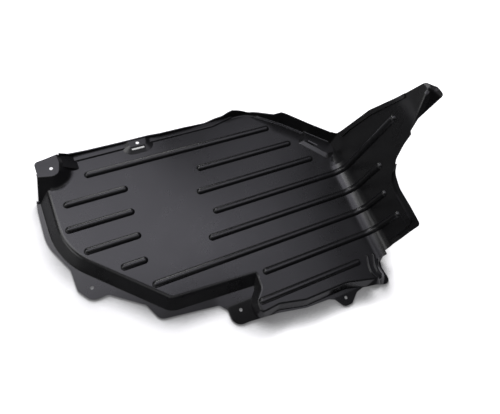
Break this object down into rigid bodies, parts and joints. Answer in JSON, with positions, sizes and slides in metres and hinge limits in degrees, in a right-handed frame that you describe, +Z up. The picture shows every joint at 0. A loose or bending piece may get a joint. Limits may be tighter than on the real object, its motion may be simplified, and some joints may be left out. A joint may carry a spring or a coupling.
{
  "type": "engine splash shield",
  "caption": "Black moulded engine splash shield: a shallow ribbed tray with a stepped rim, fixing tabs and an upright ribbed wing that ends in a narrow arm.",
  "frame": {"origin": "bottom centre of the shield's bounding box, on the plane that its rim lies on", "axes": "+X along the ribs towards the upright wing, +Y towards the long back edge, +Z up out of the rim"},
  "size_m": [0.8504, 0.6094, 0.4247],
  "materials": {
    "black_sheet": "satin black thermoformed polyolefin sheet with a fine grain"
  },
  "bodies": {
    "root": {"splash_shield": "black_sheet"}
  },
  "joints": []
}
